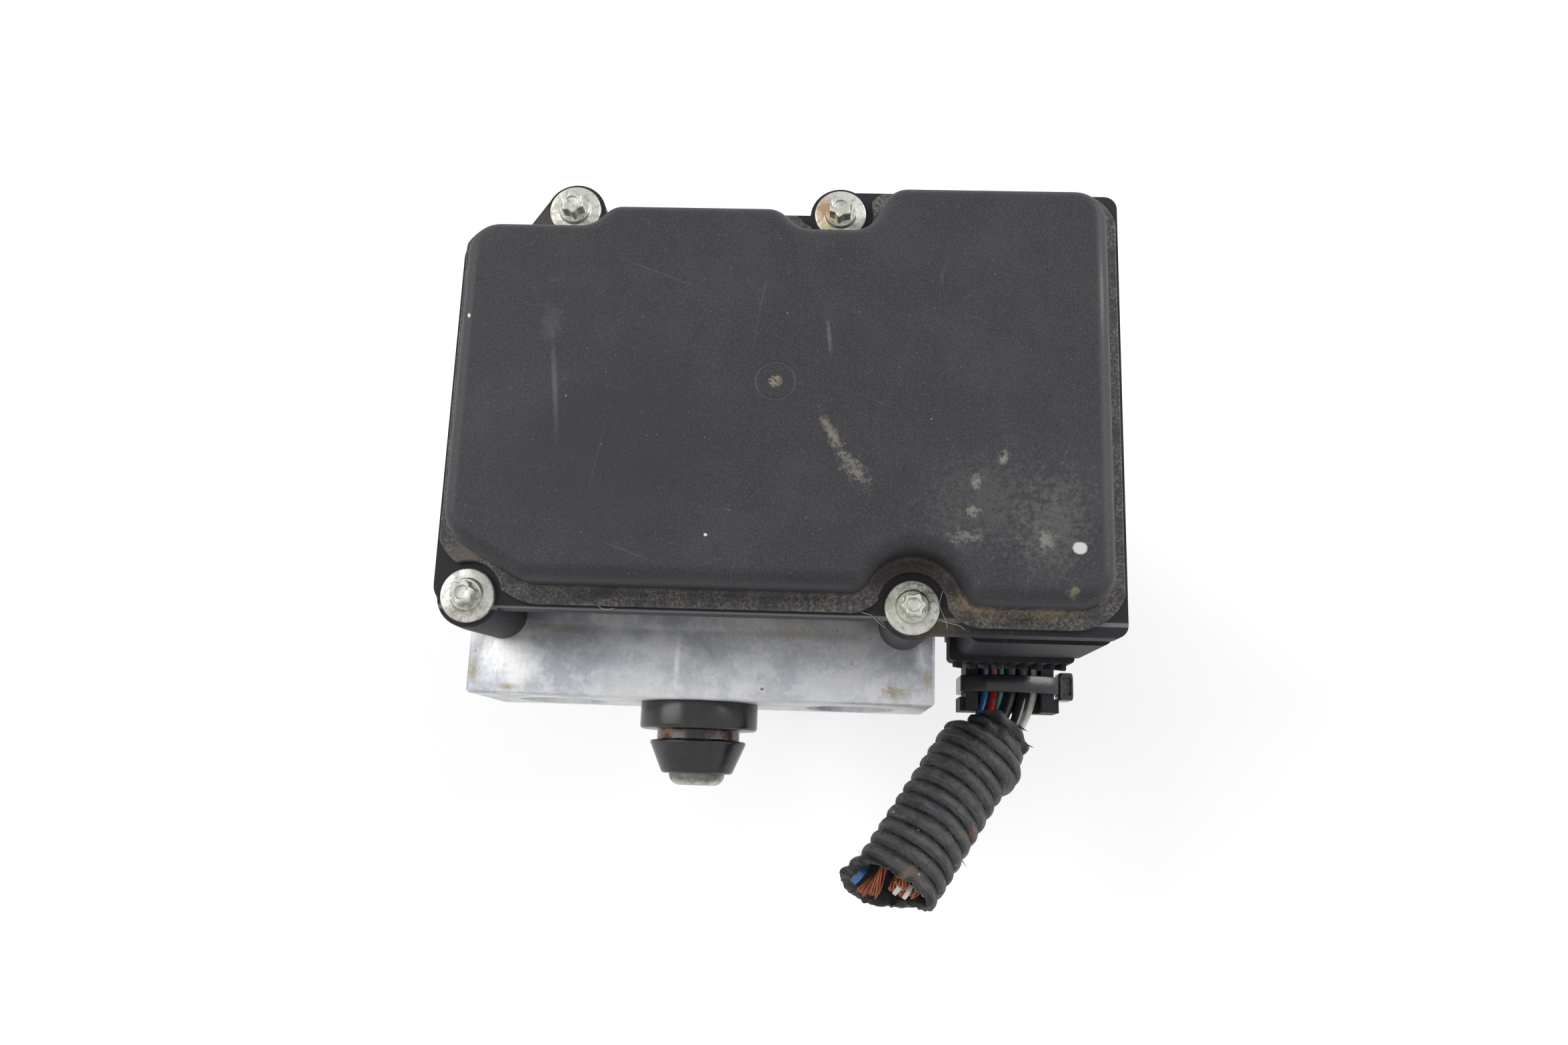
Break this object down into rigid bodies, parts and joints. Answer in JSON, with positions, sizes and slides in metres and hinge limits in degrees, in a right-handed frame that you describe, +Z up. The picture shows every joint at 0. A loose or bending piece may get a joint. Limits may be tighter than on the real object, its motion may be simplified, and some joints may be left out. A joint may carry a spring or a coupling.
{
  "type": "abs brake module",
  "caption": "Anti-lock brake hydraulic unit: pump motor, valve block and black control unit with a plugged, cut harness.",
  "frame": {"origin": "centre of the pump motor's flat end, which the unit stands on", "axes": "+Z up the motor's axis to the control unit's cover, +X to the connector, +Y to the wheel ports, -Y to the rubber mount"},
  "size_m": [0.128, 0.1412, 0.1285],
  "materials": {
    "cover_plastic": "fine matt, dusty and scratched",
    "housing_plastic": "satin",
    "block_metal": "milled, soft tan stains",
    "steel": "zinc plated",
    "can_steel": "zinc plated, drawn",
    "screw_steel": "dull zinc with dirt and rust",
    "ferrite": "ground ferrite",
    "copper": "enamelled copper",
    "rubber": "matt",
    "board": "solder mask",
    "inner_plastic": "glass-filled",
    "brass": "plated contacts",
    "nylon": "satin nylon",
    "tape": "fabric-backed tape, dusty",
    "blue_insulation": "soft insulation",
    "red_insulation": "soft insulation",
    "teal_insulation": "soft insulation",
    "black_insulation": "soft insulation",
    "white_insulation": "soft insulation"
  },
  "bodies": {
    "unit": {"ecu_cover": "cover_plastic", "ecu_housing": "housing_plastic", "ecu_screws": "screw_steel", "hydraulic_block": "block_metal", "passage_balls": "steel", "housing_seal": "rubber", "circuit_board": "board", "board_parts": "inner_plastic", "connector_pins": "brass", "inlet_valves": "steel", "outlet_valves": "steel", "inlet_coils": "steel", "outlet_coils": "steel", "pump_plugs": "steel", "left_pump_spring": "steel", "right_pump_spring": "steel", "accumulator_caps": "steel", "left_accumulator_spring": "steel", "right_accumulator_spring": "steel", "motor_can": "can_steel", "motor_screws": "screw_steel", "motor_seal": "rubber", "motor_magnets": "ferrite", "brush_plate": "inner_plastic", "carbon_brushes": "copper", "motor_contacts": "brass", "rear_bearing": "steel", "front_bearing": "steel", "rubber_mount": "rubber", "mount_stud": "screw_steel", "plug_body": "housing_plastic", "plug_cover": "housing_plastic", "cable_tie": "nylon", "loom_sleeve": "tape", "blue_wire": "blue_insulation", "red_wire": "red_insulation", "teal_wire": "teal_insulation", "left_black_wire": "black_insulation", "right_black_wire": "black_insulation", "white_wire": "white_insulation"},
    "rotor": {"motor_shaft": "steel", "eccentric_ring": "steel", "armature_core": "steel", "armature_windings": "copper", "commutator": "copper"},
    "left_pump_plunger": {"left_pump_piston": "steel"},
    "left_accumulator": {"left_accumulator_piston": "steel", "left_accumulator_seal": "rubber"},
    "right_pump_plunger": {"right_pump_piston": "steel"},
    "right_accumulator": {"right_accumulator_piston": "steel", "right_accumulator_seal": "rubber"},
    "inlet_plunger_1": {"inlet_armature_1": "steel"},
    "inlet_plunger_2": {"inlet_armature_2": "steel"},
    "inlet_plunger_3": {"inlet_armature_3": "steel"},
    "inlet_plunger_4": {"inlet_armature_4": "steel"},
    "outlet_plunger_1": {"outlet_armature_1": "steel"},
    "outlet_plunger_2": {"outlet_armature_2": "steel"},
    "outlet_plunger_3": {"outlet_armature_3": "steel"},
    "outlet_plunger_4": {"outlet_armature_4": "steel"}
  },
  "joints": [
    {"name": "rotor_spin", "type": "hinge", "parent": "unit", "child": "rotor", "pos_m": [0, 0, 0], "axis": [0, 0, 1], "continuous": true},
    {"name": "left_pump_stroke", "type": "slide", "parent": "unit", "child": "left_pump_plunger", "axis": [1, 0, 0], "range_m": [0, 0.0012], "stiffness_N_per_m": 2000, "deforming": ["left_pump_spring"]},
    {"name": "left_accumulator_stroke", "type": "slide", "parent": "unit", "child": "left_accumulator", "axis": [0, -1, 0], "range_m": [0, 0.008], "stiffness_N_per_m": 1500, "springref_m": -0.002, "deforming": ["left_accumulator_spring"]},
    {"name": "right_pump_stroke", "type": "slide", "parent": "unit", "child": "right_pump_plunger", "axis": [-1, 0, 0], "range_m": [0, 0.0012], "stiffness_N_per_m": 2000, "deforming": ["right_pump_spring"]},
    {"name": "right_accumulator_stroke", "type": "slide", "parent": "unit", "child": "right_accumulator", "axis": [0, -1, 0], "range_m": [0, 0.008], "stiffness_N_per_m": 1500, "springref_m": -0.002, "deforming": ["right_accumulator_spring"]},
    {"name": "inlet_valve_1", "type": "slide", "parent": "unit", "child": "inlet_plunger_1", "axis": [0, 0, -1], "range_m": [0, 0.00025], "stiffness_N_per_m": 1500, "springref_m": -0.0002},
    {"name": "inlet_valve_2", "type": "slide", "parent": "unit", "child": "inlet_plunger_2", "axis": [0, 0, -1], "range_m": [0, 0.00025], "stiffness_N_per_m": 1500, "springref_m": -0.0002},
    {"name": "inlet_valve_3", "type": "slide", "parent": "unit", "child": "inlet_plunger_3", "axis": [0, 0, -1], "range_m": [0, 0.00025], "stiffness_N_per_m": 1500, "springref_m": -0.0002},
    {"name": "inlet_valve_4", "type": "slide", "parent": "unit", "child": "inlet_plunger_4", "axis": [0, 0, -1], "range_m": [0, 0.00025], "stiffness_N_per_m": 1500, "springref_m": -0.0002},
    {"name": "outlet_valve_1", "type": "slide", "parent": "unit", "child": "outlet_plunger_1", "axis": [0, 0, 1], "range_m": [0, 0.00025], "stiffness_N_per_m": 1500, "springref_m": -0.0002},
    {"name": "outlet_valve_2", "type": "slide", "parent": "unit", "child": "outlet_plunger_2", "axis": [0, 0, 1], "range_m": [0, 0.00025], "stiffness_N_per_m": 1500, "springref_m": -0.0002},
    {"name": "outlet_valve_3", "type": "slide", "parent": "unit", "child": "outlet_plunger_3", "axis": [0, 0, 1], "range_m": [0, 0.00025], "stiffness_N_per_m": 1500, "springref_m": -0.0002},
    {"name": "outlet_valve_4", "type": "slide", "parent": "unit", "child": "outlet_plunger_4", "axis": [0, 0, 1], "range_m": [0, 0.00025], "stiffness_N_per_m": 1500, "springref_m": -0.0002}
  ]
}
